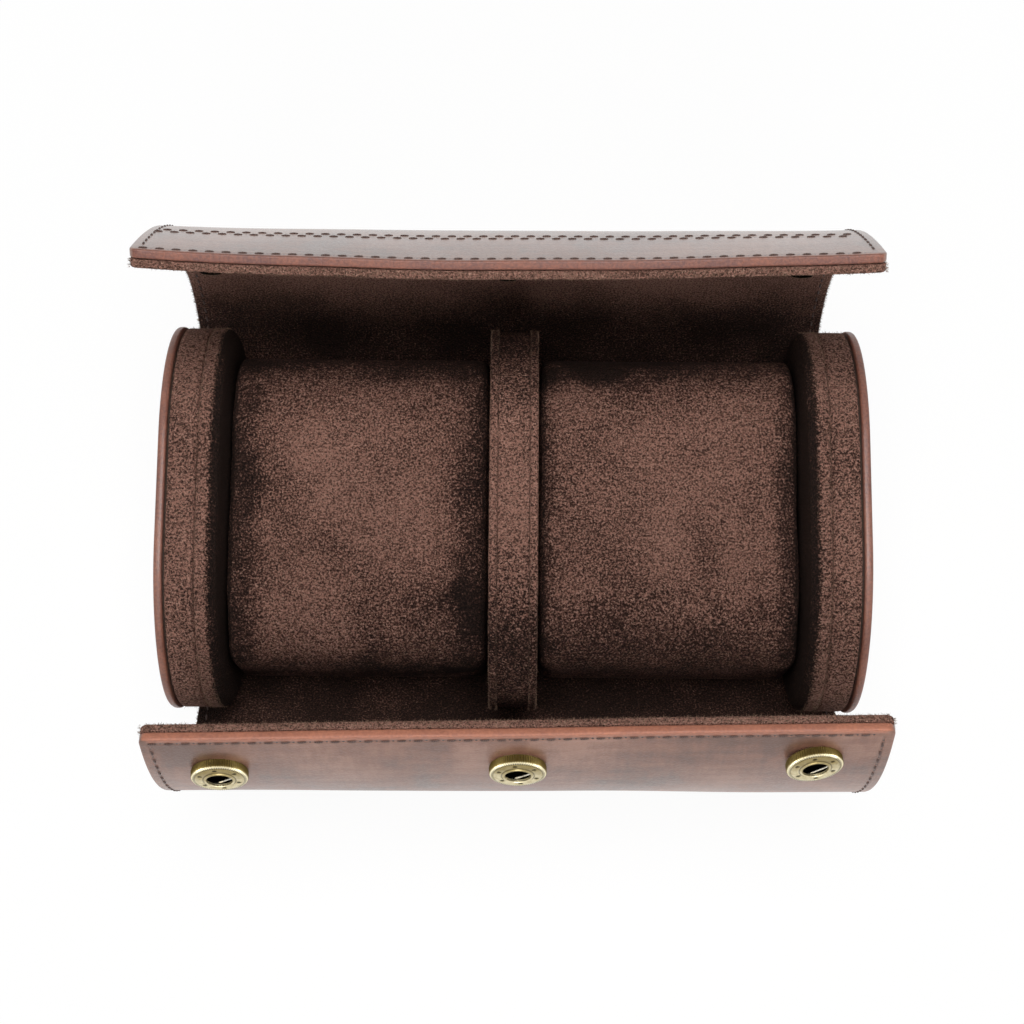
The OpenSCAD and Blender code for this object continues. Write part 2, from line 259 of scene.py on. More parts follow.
def sheet(name, flap, joint, depth, inset, rounding):
    """One layer of the wrap where it bends at one joint, spun along its arcs from a thin grid."""
    low, high = segment_runs(flap, joint)
    last = joint == len(STRETCHES[flap]) - 1
    high -= inset if last else 0
    thickness = depth[1] - depth[0]
    width = WRAP_WIDTH - 2 * inset
    _, _, heading = state_at(flap, low)
    side = SIDE[flap]
    tilt = heading - math.pi / 2 if side > 0 else -heading - math.pi / 2
    piece = bare_primitive(
        bpy.ops.mesh.primitive_grid_add,
        x_subdivisions=COLUMNS, y_subdivisions=1, size=1,
        location=plain_spot(flap, low, (depth[0] + depth[1]) / 2), rotation=(tilt, 0, 0),
    )
    piece.name = name
    piece.scale = (width, thickness, 1)
    settle(piece)
    edit(piece)
    if low < 0:
        bpy.ops.mesh.extrude_region_move(TRANSFORM_OT_translate={"value": (0, side * -low, 0)})
    for start, (u0, z0, turn), length, radius in arcs(flap):
        first, final = max(low, start), min(high, start + length)
        if final - first < NEAR:
            continue
        centre = (0, side * (u0 - radius * math.sin(turn)), z0 + radius * math.cos(turn))
        bpy.ops.mesh.spin(
            steps=max(2, round((final - first) / RING_STEP)),
            angle=(final - first) / radius, center=centre, axis=(-side, 0, 0),
        )
    bpy.ops.mesh.select_all(action="SELECT")
    bpy.ops.mesh.remove_doubles(threshold=NEAR)
    bpy.ops.mesh.normals_make_consistent(inside=False)
    close_edit()
    half = width / 2

    def at_side(point):
        return abs(abs(point.x) - half) < 1e-5

    def at_end(point):
        return unrolled(flap, point)[0] > high - 1e-5

    def past_corner(point):
        """How far a point lies from the centre of its corner's rounding."""
        past_x = abs(point.x) - half + CORNER_RADIUS
        past_run = unrolled(flap, point)[0] - high + CORNER_RADIUS
        if min(past_x, past_run) < -1e-4:
            return 0.0
        return math.hypot(max(0, past_x), max(0, past_run))

    if last:
        pick_edges(piece, lambda a, b: at_side(a) and at_side(b) and at_end(a) and at_end(b)
                   and (a - b).length > thickness * 0.9)
        bpy.ops.mesh.bevel(offset=CORNER_RADIUS, segments=4, affect="EDGES")
        close_edit()

    def on_rim(a, b):
        if abs(unrolled(flap, a)[1] - unrolled(flap, b)[1]) > thickness / 2:
            return False
        if at_side(a) and at_side(b):
            return True
        if not last:
            return False
        if at_end(a) and at_end(b):
            return True
        around = min(past_corner(a), past_corner(b)) > CORNER_RADIUS - 1e-4
        return around and (a - b).length < CORNER_RADIUS

    pick_edges(piece, on_rim)
    bpy.ops.mesh.bevel(offset=rounding, segments=3, affect="EDGES", clamp_overlap=True)
    close_edit()
    mark_flat(piece, flap)
    for vertex in piece.data.vertices:
        vertex.co = spot(flap, vertex.co.x, *unrolled(flap, vertex.co))
    smooth(piece, 50)
    return piece


BEND_HALF = 0.009
# Stretches each side of a joint's line, outward only beside the flat underside, where the case
# stands flat. bend_with works them out, but nothing bends by them.
BASE_BEND = (0.003, 0.015)


def bend_with(piece, flap, joint):
    """Works out a short stretch each side of a joint's line, which nothing uses, and bakes the
    piece's transform into its mesh.
    """
    hinge = hinge_run(flap, joint)
    before, after = BASE_BEND if joint == 0 else (BEND_HALF, BEND_HALF)
    start = plain_spot(flap, hinge - before, WRAP_THICKNESS / 2)
    end = plain_spot(flap, hinge + after, WRAP_THICKNESS / 2)
    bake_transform(piece)


def stands_for(layer, flap, joint):
    """CAD nodes of one layer that the piece at a joint stands for."""
    moving = FLAP_BODIES[flap][joint + 1] + "_" + layer
    return ["base_" + layer, moving] if joint == 0 else [moving]


def colour(code):
    """Linear colour of an sRGB hex code."""
    parts = [int(code[i:i + 2], 16) / 255 for i in (1, 3, 5)]
    linear = [c / 12.92 if c <= 0.04045 else ((c + 0.055) / 1.055) ** 2.4 for c in parts]
    return (*linear, 1.0)


class Field:
    """A socket that takes part in arithmetic: each operator adds the node that works it out."""

    def __init__(self, paint, socket):
        self.paint, self.socket = paint, socket

    def maths(self, operation, *operands):
        return self.paint.add("ShaderNodeMath", dict(enumerate(operands)), operation=operation)

    def __add__(self, other):
        return self.maths("ADD", self, other)

    def __sub__(self, other):
        return self.maths("SUBTRACT", self, other)

    def __rsub__(self, other):
        return self.maths("SUBTRACT", other, self)

    def __mul__(self, other):
        return self.maths("MULTIPLY", self, other)

    def __truediv__(self, other):
        return self.maths("DIVIDE", self, other)

    __radd__, __rmul__ = __add__, __mul__

    def size(self):
        return self.maths("ABSOLUTE", self)

    def least(self, other):
        return self.maths("MINIMUM", self, other)

    def most(self, other):
        return self.maths("MAXIMUM", self, other)

    def root(self):
        return self.maths("SQRT", self)

    def fraction(self):
        return self.maths("FRACT", self)

    def ramp(self, low, high):
        """0 at low and 1 at high, smoothly between and flat outside. low may be the larger."""
        return self.paint.add(
            "ShaderNodeMapRange", {0: self, 1: low, 2: high, 3: 0.0, 4: 1.0},
            interpolation_type="SMOOTHSTEP",
        )

    def part(self, axis):
        return self.paint.add("ShaderNodeSeparateXYZ", {0: self}, output=axis)

    def stretched(self, x, y, z):
        return self.paint.add(
            "ShaderNodeVectorMath", {0: self, 1: (x, y, z)}, operation="MULTIPLY"
        )


class Paint:
    """A material. add() makes one node of any kind, and set() feeds the shader."""

    def __init__(self, name):
        self.material = bpy.data.materials.new(name)
        self.material.use_nodes = True
        self.tree = self.material.node_tree
        self.shader = self.tree.nodes["Principled BSDF"]

    def connect(self, value, socket):
        if isinstance(value, Field):
            self.tree.links.new(value.socket, socket)
        else:
            socket.default_value = value

    def add(self, kind, inputs=None, output=0, **settings):
        node = self.tree.nodes.new(kind)
        for name, value in settings.items():
            setattr(node, name, value)
        for key, value in (inputs or {}).items():
            self.connect(value, node.inputs[key])
        return Field(self, node.outputs[output])

    def set(self, **sockets):
        for name, value in sockets.items():
            self.connect(value, self.shader.inputs[name.replace("_", " ")])

    def two_tone(self, pattern, dark, pale, smoothest, roughest, **sockets):
        """A plain finish whose colour and roughness follow one pattern."""
        self.set(
            Base_Color=self.mix(pattern, colour(dark), colour(pale)),
            Roughness=pattern * (roughest - smoothest) + smoothest, **sockets,
        )
        return self.material

    def mix(self, share, a, b):
        return self.add("ShaderNodeMix", {0: share, 6: a, 7: b}, output=2, data_type="RGBA")

    def here(self):
        return self.add("ShaderNodeTexCoord", output=3)

    def flat(self):
        return self.add("ShaderNodeAttribute", output=1, attribute_name="flat")

    def cloud(self, place, size, detail=2.0, rough=0.5):
        """Noise from 0 to 1 with blotches about size metres across."""
        return self.add(
            "ShaderNodeTexNoise",
            {"Vector": place, "Scale": 1 / size, "Detail": detail, "Roughness": rough},
        ).ramp(0.3, 0.7)

    def cells(self, place, size):
        """Distance to the nearest of scattered points about size metres apart."""
        return self.add("ShaderNodeTexVoronoi", {"Vector": place, "Scale": 1 / size})

    def bump(self, height, depth):
        """Normal of a surface raised by height, from 0 to 1, times depth in metres."""
        return self.add("ShaderNodeBump", {"Height": height, "Distance": depth, "Strength": 1.0})


SIDE_INSET = 0.0021
LIP_INSET = 0.0015
STITCH_PITCH = 0.0032
TWIN_ROWS = (0.0200, 0.0232)
TWIN_STAGGER = 0.0013
HALF_WIDTH = WRAP_WIDTH / 2
FRONT_END = -(BASE_HALF + FLAP_LENGTH["front"])
BACK_END = BASE_HALF + FLAP_LENGTH["back"]
LEATHER_DARK = colour("#5d3f33")
LEATHER_MID = colour("#7b5545")
LEATHER_PALE = colour("#9a7463")
LEATHER_MARGIN = colour("#9a6551")
LEATHER_EDGE = colour("#522e29")
LEATHER_SPLIT = colour("#ae7057")
HOLE_BLACK = colour("#1d120f")


def needle_holes(along, across):
    """1 in the needle holes of a row: one in the gap between each two stitches."""
    step = ((along / STITCH_PITCH).fraction() - 0.5) * STITCH_PITCH
    return (step * step + across * across).root()


def leather_finish(paint, place, edge, margin, row, hole, edge_light_thin_wax):
    """Oiled pull-up leather: cloudy, with fine rubs and pores, warmer in the margin outside the
    stitches, red on the burnished edge, dark along a row and in its needle holes. Where the last
    argument is high the edge is painted brighter and the wax thinner; the back flap's edges, where
    it is low, are painted darker: painted light and painted shade."""
    cloudy = paint.cloud(place, 0.034, 3.0)
    marks = paint.cloud(place.stretched(1.0, 0.6, 1.0), 0.008, 4.0, 0.6)
    rubs = paint.cloud(place.stretched(1.0, 0.16, 1.0), 0.0011, 3.0, 0.6)
    streaks = paint.cloud(place.stretched(0.15, 1.0, 1.0), 0.0022, 3.0, 0.55)
    fine = paint.cloud(place, 0.0006, 2.0)
    tone = cloudy * 0.45 + marks * 0.30 + rubs * 0.10 + streaks * 0.15
    body = paint.mix(tone.ramp(0.15, 0.52), LEATHER_DARK, LEATHER_MID)
    body = paint.mix(tone.ramp(0.45, 0.85) * 0.85, body, LEATHER_PALE)
    rim = paint.mix(marks * 0.6 + fine * 0.4, LEATHER_MARGIN, LEATHER_SPLIT)
    body = paint.mix(margin * 0.75, body, rim)
    # Painted light and shade: the front flap's edges are painted brighter than the back flap's
    burnish = paint.mix(marks * 0.25 + fine * 0.25 + edge_light_thin_wax * 0.55, LEATHER_EDGE, LEATHER_SPLIT)
    body = paint.mix(edge, body, burnish)
    halo = hole.ramp(0.00055, 0.00030) * row.ramp(0.0, 0.5) * 0.5
    body = paint.mix(halo, body, LEATHER_SPLIT)
    pit = hole.ramp(0.00032, 0.00016)
    body = paint.mix((row * 0.35).most(pit), body, LEATHER_DARK)
    body = paint.mix(pit * 0.8, body, HOLE_BLACK)
    pores = paint.cells(place, 0.00050).ramp(0.0, 0.45)
    height = pores * 0.30 + fine * 0.30 + rubs * 0.25 + marks * 0.25 - row * 1.3 - pit * 2.0
    paint.set(
        Base_Color=body,
        Roughness=0.40 + marks * 0.12 + fine * 0.08 + edge * 0.10,
        Coat_Weight=(0.92 - edge_light_thin_wax * 0.50) * (1.0 - edge * 0.85),
        Coat_Roughness=0.24,
        Normal=paint.bump(height, 0.00012),
    )
    return paint.material


def wrap_leather_paint():
    paint = Paint("wrap_leather")
    flat = paint.flat()
    x, run = flat.part(0), flat.part(1)
    side = HALF_WIDTH - x.size()
    lip = (run - FRONT_END).least(BACK_END - run)
    in_side, in_lip = side - SIDE_INSET, lip - LIP_INSET
    inside = in_side.least(in_lip)
    row = inside.size().ramp(0.0006, 0.0001)
    near = needle_holes(run, in_side).least(needle_holes(x, in_lip))
    hole = near + (inside.size() - 0.0005).most(0.0)
    for distance in TWIN_ROWS:
        across = run - (BACK_END - distance)
        twin = in_side.ramp(-0.0001, 0.0001)
        row = row.most(across.size().ramp(0.0006, 0.0001) * twin)
        stagger = TWIN_STAGGER if distance == TWIN_ROWS[1] else 0.0
        hole = hole.least(needle_holes(x - stagger, across) + (1.0 - twin) * 0.01)
    edge = lip.ramp(0.0006, 0.0001).most(side.ramp(0.0004, 0.0) * 0.5)
    margin = in_lip.ramp(0.0002, -0.0006) * in_side.ramp(-0.0010, 0.0002)
    # front also paints the front flap's edges brighter than the back's: painted light and shade
    front = run.ramp(0.01, -0.01)
    return leather_finish(paint, flat, edge, margin * (front * 0.6 + 0.4), row, hole, front)


wrap_leather = wrap_leather_paint()
for segment, flap, joint in SEGMENTS:
    piece = sheet("wrap_leather_" + segment, flap, joint, LEATHER_DEPTH, 0.0, LEATHER_ROUND)
    piece.data.materials.append(wrap_leather)
    bend_with(piece, flap, joint)
    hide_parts(*stands_for("leather", flap, joint))


# Stitching
# Waxed dark thread in a saddle stitch sews the wrap's layers together near every edge. Two
# rows more across the back hold the end of its stiffener through the leather alone.
STITCH_TURN = math.radians(4)
THREAD_STRAND = 0.00042
# Sections along a stitch: x, height over the leather and radius
STITCH_STEPS = (
    (-0.00102, -0.00024, 0.00012), (-0.00074, 0.0, 0.00020), (0.0, 0.00005, 0.00024),
    (0.00074, 0.0, 0.00020), (0.00102, -0.00024, 0.00012),
)


def drawn_out(name, sides, steps, rotation=(0, 0, 0)):
    """A round closed piece drawn out of a disc: each step gives a section's place and radius."""
    (place, radius), *rest = steps
    piece = bare_primitive(
        bpy.ops.mesh.primitive_circle_add, vertices=sides, radius=radius, fill_type="NGON",
        location=place, rotation=rotation,
    )
    piece.name = name
    settle(piece)
    edit(piece)
    for next_place, next_radius in rest:
        bpy.ops.mesh.extrude_region_move(
            TRANSFORM_OT_translate={"value": Vector(next_place) - Vector(place)}
        )
        bpy.ops.transform.resize(value=(next_radius / radius,) * 3, center_override=next_place)
        place, radius = next_place, next_radius
    close_edit()
    outward_normals(piece)
    return piece


def seat(flap, x, run, depth, inward=False):
    """Frame on the wrap: X along the roll, Z out of the leather, or out of the lining."""
    step = 0.0005
    across = spot(flap, x + step, run, depth) - spot(flap, x - step, run, depth)
    upward = spot(flap, x, run + step, depth) - spot(flap, x, run - step, depth)
    out = across.cross(upward).normalized() * SIDE[flap] * (1 if inward else -1)
    across.normalize()
    turned = Matrix((across, out.cross(across), out)).transposed().to_4x4()
    return Matrix.Translation(spot(flap, x, run, depth)) @ turned


def copy_at(model, matrix):
    """A copy of a model with its own mesh, set by a matrix."""
    copy = bpy.data.objects.new(model.name, model.data.copy())
    bpy.context.scene.collection.objects.link(copy)
    copy.data.transform(matrix)
    return copy


def joined(name, parts):
    """One piece of several objects."""
    bpy.ops.object.select_all(action="DESELECT")
    for part in parts:
        part.select_set(True)
    bpy.context.view_layer.objects.active = parts[0]
    bpy.ops.object.join()
    parts[0].name = name
    return parts[0]


def discard(model):
    bpy.data.objects.remove(model)


def multiples(low, high):
    """Multiples of the stitches' pitch above low and up to high."""
    first = math.floor(low / STITCH_PITCH) + 1
    return [k * STITCH_PITCH for k in range(first, math.floor(high / STITCH_PITCH) + 1)]


def stitch_places(flap, joint, rows):
    """Where the stitches of one segment lie: x, run and whether they run along the roll. rows
    are the distances from the lip of the rows along the roll."""
    low, high = segment_runs(flap, joint)
    end = FLAP_LENGTH[flap]
    side_x = HALF_WIDTH - SIDE_INSET
    found = []
    first = low + BASE_HALF - (NEAR if flap == "back" else 0)
    last = min(high, end - LIP_INSET - STITCH_PITCH / 2) + BASE_HALF
    for along_base in multiples(first, last):
        for x in (-side_x, side_x):
            found.append((x, along_base - BASE_HALF, False))
    for distance in rows:
        stagger = TWIN_STAGGER if distance == TWIN_ROWS[1] else 0.0
        if low < end - distance <= high:
            for x in multiples(-side_x, side_x - STITCH_PITCH / 2):
                found.append((x + stagger, end - distance, True))
    return found


def thread_paint():
    paint = Paint("waxed_thread")
    flat = paint.flat()
    strands = ((flat.part(0) + flat.part(1)) / THREAD_STRAND).fraction()
    twist = (strands - 0.5).size() * 2.0
    normal = paint.bump(twist, 0.00006)
    return paint.two_tone(twist, "#2a1a16", "#5a3f36", 0.5, 0.6, Normal=normal)


waxed_thread = thread_paint()
stitch = drawn_out(
    "stitch", 6, [((x, 0, z), radius) for x, z, radius in STITCH_STEPS], (0, math.pi / 2, 0)
)
stitch.data.materials.append(waxed_thread)
smooth(stitch, 60)
for segment, flap, joint in SEGMENTS:
    outer_rows = (LIP_INSET, *TWIN_ROWS) if flap == "back" else (LIP_INSET,)
    for face, rows, depth in (("outer", outer_rows, WRAP_THICKNESS), ("inner", (LIP_INSET,), 0.0)):
        copies = []
        for x, run, lengthwise in stitch_places(flap, joint, rows):
            turn = STITCH_TURN + (0 if lengthwise else math.pi / 2)
            place = seat(flap, x, run, depth, inward=face == "inner")
            copies.append(copy_at(stitch, place @ Matrix.Rotation(turn, 4, "Z")))
        piece = joined("wrap_stitches_" + segment + "_" + face, copies)
        mark_flat(piece, flap)
        bend_with(piece, flap, joint)
discard(stitch)


# Stiffener boards
# A thin fibre board glued between the leather and the lining keeps each stretch of the wrap
# in its curve. It stops short of the edges, so it shows only as the dark line between them.
BOARD_DEPTH = (0.0017, 0.0019)
BOARD_INSET = 0.0007
BOARD_ROUND = 0.0001


paint = Paint("stiffener_board")
grain = paint.cloud(paint.flat().stretched(0.2, 1.0, 1.0), 0.0008, 3.0)
board = paint.two_tone(grain, "#2a201b", "#43362d", 0.8, 0.95, Normal=paint.bump(grain, 0.0001))
for segment, flap, joint in SEGMENTS:
    piece = sheet("wrap_board_" + segment, flap, joint, BOARD_DEPTH, BOARD_INSET, BOARD_ROUND)
    piece.data.materials.append(board)
    bend_with(piece, flap, joint)
    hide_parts(*stands_for("board", flap, joint))


# Suede lining
# A split suede, glued to the board and sewn to the leather along all edges. Its pile lies in
# soft patches, and its cut edge is raw and fuzzy. Its colour is painted paler toward the lips
# and darker deeper in the case: painted light and painted shade.
LINING_DEPTH = (0.0, 0.0017)
LINING_ROUND = 0.0004
# Distances from the middle of the underside between which the lining is painted paler:
# painted light toward the lips, and painted shade nearer the underside
LINING_PAINTED_LIGHT = (0.052, 0.080)
SUEDE_DEEP = colour("#110b09")
SUEDE_DARK = colour("#2a1c18")
SUEDE_MID = colour("#68493f")
SUEDE_PALE = colour("#9a7163")
SUEDE_GLINT = colour("#b89180")
FIBRE_RADIUS = 0.00005
FIBRE_LENGTH = 0.0008
FIBRE_ROOT = 0.0001
FIBRES_PER_LIP = 4000
FIBRES_PER_METRE = 14000


def suede_finish(paint, place, tone, specks=1.0):
    """Brushed suede: tone, from 0 to 1, picks the colour, and the pile breaks it up. Tone also
    carries the painted light and painted shade that callers put into it.
    """
    pile = paint.cloud(place, 0.00045, 2.0, 0.65)
    tufts = paint.cloud(place, 0.0013, 3.0, 0.6)
    dark = paint.cloud(place, 0.00042, 1.0)
    tone_and_pile = tone + ((pile - 0.5) * 1.1 + (tufts - 0.5) * 0.2) * specks
    body = paint.mix(tone_and_pile.ramp(-0.1, 0.55), SUEDE_DARK, SUEDE_MID)
    body = paint.mix(tone_and_pile.ramp(0.45, 1.15), body, SUEDE_PALE)
    body = paint.mix(dark.ramp(0.5, 0.1) * 0.75, body, SUEDE_DARK)
    glints = paint.cloud(place, 0.00036, 1.0).ramp(0.74, 0.95) * tone_and_pile.ramp(0.1, 0.6)
    body = paint.mix(glints * 0.65, body, SUEDE_GLINT)
    # Tone below 0, mostly painted shade, darkens to SUEDE_DEEP
    body = paint.mix(tone_and_pile.ramp(-0.8, -0.05), SUEDE_DEEP, body)
    paint.set(
        Base_Color=body,
        Roughness=0.9 + pile * 0.08,
        Normal=paint.bump(pile * 0.8 + tufts * 0.4 + dark * 0.6, 0.00040),
        Specular_IOR_Level=0.1,
        Sheen_Weight=0.12,
        Sheen_Roughness=0.5,
        Sheen_Tint=colour("#a98575"),
    )
    return paint.material


def lining_paint():
    paint = Paint("suede_lining")
    flat = paint.flat()
    patches = paint.cloud(flat, 0.024, 3.0, 0.55)
    # Painted light and shade: paler toward the lips, darker nearer the underside
    lit_toward_lips = flat.part(1).size().ramp(LINING_PAINTED_LIGHT[0], LINING_PAINTED_LIGHT[1])
    return suede_finish(paint, flat, patches * 0.60 + lit_toward_lips * 1.20 - 0.40)


def fibre_paint(name, along_flat):
    paint = Paint(name)
    place = paint.flat() if along_flat else paint.here()
    tint = paint.cloud(place, 0.0007, 2.0) * 0.6 + paint.cloud(place, 0.005, 2.0) * 0.4
    return paint.two_tone(tint, "#463129", "#a38672", 0.85, 0.95, Specular_IOR_Level=0.1)


def fibres(name, roots, draw):
    """Loose fibres of raw suede: a thin closed spike at each root, a point and a direction."""
    points, faces = [], []
    for root, out in roots:
        lean = Vector((draw.gauss(0, 0.5), draw.gauss(0, 0.5), draw.gauss(0, 0.5)))
        direction = (out + lean).normalized()
        across = direction.orthogonal().normalized() * FIBRE_RADIUS
        other = direction.cross(across)
        start = root - direction * FIBRE_ROOT
        first = len(points)
        points += [
            start + across,
            start - across * 0.5 + other * 0.87,
            start - across * 0.5 - other * 0.87,
            start + direction * FIBRE_LENGTH * draw.uniform(0.4, 1.0),
        ]
        faces += [
            (first, first + 2, first + 1), (first, first + 1, first + 3),
            (first + 1, first + 2, first + 3), (first + 2, first, first + 3),
        ]
    mesh = bpy.data.meshes.new(name)
    mesh.from_pydata(points, [], faces)
    piece = bpy.data.objects.new(name, mesh)
    bpy.context.scene.collection.objects.link(piece)
    return piece


def wrap_roots(flap, joint, draw):
    """Roots of fibres along the raw edges of one segment of the lining."""
    low, high = segment_runs(flap, joint)
    found = []

    def root(x, run, depth, aside, ahead):
        frame_here = seat(flap, x, run, depth)
        axes = [Vector(frame_here.col[i][:3]) for i in range(3)]
        upward = axes[0].cross(axes[2]) * SIDE[flap]
        found.append((frame_here.translation, axes[0] * aside + upward * ahead))

    for _ in range(round(FIBRES_PER_METRE * (high - low))):
        for side in (-1, 1):
            root(side * HALF_WIDTH, draw.uniform(low, high), draw.uniform(*LINING_DEPTH), side, 0)
    if high == FLAP_LENGTH[flap]:
        for _ in range(FIBRES_PER_LIP):
            x = draw.uniform(-HALF_WIDTH + 0.001, HALF_WIDTH - 0.001)
            root(x, high, draw.uniform(*LINING_DEPTH), 0, 1)
    return found


suede_lining = lining_paint()
wrap_fibres = fibre_paint("suede_fibres_wrap", True)
draw = random.Random(11)
for segment, flap, joint in SEGMENTS:
    piece = sheet("wrap_lining_" + segment, flap, joint, LINING_DEPTH, 0.0, LINING_ROUND)
    piece.data.materials.append(suede_lining)
    bend_with(piece, flap, joint)
    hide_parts(*stands_for("lining", flap, joint))
    fuzz = fibres("wrap_fibres_" + segment, wrap_roots(flap, joint, draw), draw)
    fuzz.data.materials.append(wrap_fibres)
    mark_flat(fuzz, flap)
    bend_with(fuzz, flap, joint)


# End panels
# Each end of the roll is a stiff core wrapped in suede: a band around the rim, and a padded
# face that rolls over toward the compartment. A burnished leather disc closes the outside.
PANEL_CENTRE_Z = 0.0356
PANEL_HALF = (0.0422, 0.0318)
PANEL_CORNER = 0.0308
DISC_PROUD = 0.0003
DISC_X = (0.0732, 0.0750)
RIM_X = (0.0667, 0.0728)
FACE_X = (0.0621, 0.0667)
FACE_ROUND = 0.0022
OUTLINE_STEPS = 28
FIBRES_PER_EDGE = 2600
FIBRES_PER_BAND = 900
# Rows of fibres on an end panel: from and to along the roll, how far in, and how many
PANEL_FIBRES = (
    (RIM_X[0] - 0.0012, RIM_X[0], 0.0002, FIBRES_PER_EDGE),
    (RIM_X[0], RIM_X[1], 0.0, FIBRES_PER_BAND),
    (FACE_X[0] + 0.0014, FACE_X[0] + 0.0026, 0.0002, FIBRES_PER_EDGE),
    (FACE_X[0] + 0.0026, FACE_X[1], 0.0001, FIBRES_PER_BAND),
)


def slab(name, x0, x1, inset):
    """A slab with the panel's rounded outline, from x0 to x1."""
    piece = bare_primitive(
        bpy.ops.mesh.primitive_plane_add, size=1,
        location=(x0, 0, PANEL_CENTRE_Z), rotation=(math.pi / 2, 0, math.pi / 2),
    )
    piece.name = name
    piece.scale = (2 * (PANEL_HALF[0] - inset), 2 * (PANEL_HALF[1] - inset), 1)
    settle(piece)
    edit(piece)
    bpy.ops.mesh.bevel(offset=PANEL_CORNER - inset, segments=OUTLINE_STEPS, affect="VERTICES")
    bpy.ops.mesh.extrude_region_move(TRANSFORM_OT_translate={"value": (x1 - x0, 0, 0)})
    bpy.ops.mesh.select_all(action="SELECT")
    bpy.ops.mesh.normals_make_consistent(inside=False)
    close_edit()
    return piece


def both_at(axis, value):
    """A test that both ends of an edge lie at a value along an axis."""
    return lambda a, b: abs(a[axis] - value) < NEAR and abs(b[axis] - value) < NEAR


def round_edge(piece, x, radius, steps=4):
    """Rounds the outline of a slab where it meets the plane at x."""
    pick_edges(piece, both_at(0, x))
    bpy.ops.mesh.bevel(offset=radius, segments=steps, affect="EDGES")
    close_edit()


def case_piece(name, node, sign, span, inset, rounding, material):
    """A slab of a panel or of the divider that stands for a node. rounding gives the x, radius
    and steps of each rounded edge. sign turns the piece to the left end or the right."""
    piece = slab(name, sign * span[0], sign * span[1], inset)
    for x, *sizes in rounding:
        round_edge(piece, sign * x, *sizes)
    piece.data.materials.append(material)
    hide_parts(node)
    smooth(piece, 50)
    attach(piece, "case")


def beyond_outline(place):
    """How far a Field's point lies outside the panel's outline; negative inside it."""
    over_y = place.part(1).size() - (PANEL_HALF[0] - PANEL_CORNER)
    over_z = (place.part(2) - PANEL_CENTRE_Z).size() - (PANEL_HALF[1] - PANEL_CORNER)
    out_y, out_z = over_y.most(0.0), over_z.most(0.0)
    return (out_y * out_y + out_z * out_z).root() + over_y.most(over_z).least(0.0) - PANEL_CORNER


def disc_paint():
    paint = Paint("disc_leather")
    here = paint.here()
    edge = beyond_outline(here).ramp(-0.0007, -0.0001)
    bare = here.part(0) * 0.0
    return leather_finish(paint, here, edge * 0.8, bare, bare, bare + 1.0, bare + 0.15)


def outline(distance, inset):
    """Point and outward direction on the panel's outline in the (Y, Z) plane, a distance along."""
    radius = PANEL_CORNER - inset
    half = (PANEL_HALF[0] - inset - radius, PANEL_HALF[1] - inset - radius)
    point, ahead, out = Vector((-half[0], half[1] + radius)), Vector((1, 0)), Vector((0, 1))
    quarter = radius * math.pi / 2
    for corner in range(4):
        straight = 2 * half[corner % 2]
        if distance < straight:
            point = point + ahead * distance
            break
        point, distance = point + ahead * straight, distance - straight
        centre = point - out * radius
        if distance < quarter:
            turn = distance / radius
            out = out * math.cos(turn) + ahead * math.sin(turn)
            point = centre + out * radius
            break
        point, distance = centre + ahead * radius, distance - quarter
        ahead, out = -out, ahead
    return Vector((0, point.x, point.y + PANEL_CENTRE_Z)), Vector((0, out.x, out.y))


def edge_fibres(name, sign, rows):
    """Fibres in rows around an end panel or one side of the divider, all pointing outward."""
    straight = 4 * (PANEL_HALF[0] + PANEL_HALF[1] - 2 * PANEL_CORNER)
    length = straight + 2 * math.pi * PANEL_CORNER
    roots = []
    for x0, x1, inset, count in rows:
        for _ in range(count):
            point, out = outline(draw.uniform(0, length - 0.001), inset)
            roots.append((point + Vector((draw.uniform(sign * x0, sign * x1), 0, 0)), out))
    fuzz = fibres(name, roots, draw)
    fuzz.data.materials.append(panel_fibres)
    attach(fuzz, "case")


def panel_suede_paint():
    paint = Paint("suede_panel")
    here = paint.here()
    x, along = here.part(0), here.part(1).size()
    patches = paint.cloud(here, 0.016, 3.0, 0.55)
    middle = x.size().ramp(0.020, 0.010)
    inner = x.size().ramp(FACE_X[0] + 0.0026, FACE_X[0] + 0.0010) * (1.0 - middle)
    ends = along.ramp(0.004, 0.036) * middle
    # Painted light and shade: the divider paler in its middle and darker toward its ends, and each
    # end panel's face darker toward the compartment
    tone = patches * 0.40 + 0.66 + middle * 0.34 - ends * 1.2 - inner * 1.6
    return suede_finish(paint, here, tone, 1.7)


disc_leather = disc_paint()
suede_panel = panel_suede_paint()
panel_fibres = fibre_paint("suede_fibres_panel", False)
for end, sign in (("left", -1), ("right", 1)):
    case_piece(
        "end_disc_" + end + "_leather", "end_disc_" + end, sign, DISC_X, -DISC_PROUD,
        ((DISC_X[0], 0.0005), (DISC_X[1], 0.0007)), disc_leather,
    )
    case_piece(
        "end_rim_" + end + "_band", "end_rim_" + end, sign, RIM_X, 0.0,
        ((RIM_X[0], 0.0008), (RIM_X[1], 0.0006)), suede_panel,
    )
    case_piece(
        "end_face_" + end + "_pad", "end_face_" + end, sign, FACE_X, 0.0,
        ((FACE_X[1], 0.0007), (FACE_X[0], FACE_ROUND, 8)), suede_panel,
    )
    edge_fibres("end_fibres_" + end, sign, PANEL_FIBRES)


# Divider
# The wall between the two compartments: a stiff core with a suede band around its rim and a
# suede face glued on each side, whose raw edges stand a little above the band.
DIVIDER_X = (0.0034, 0.0052)
DIVIDER_BAND_INSET = 0.0004
DIVIDER_FIBRES = (
    (DIVIDER_X[1], DIVIDER_X[1] - 0.0007, 0.0003, FIBRES_PER_EDGE),
    (DIVIDER_X[0], DIVIDER_X[0] + 0.0005, 0.0001, FIBRES_PER_BAND),
)

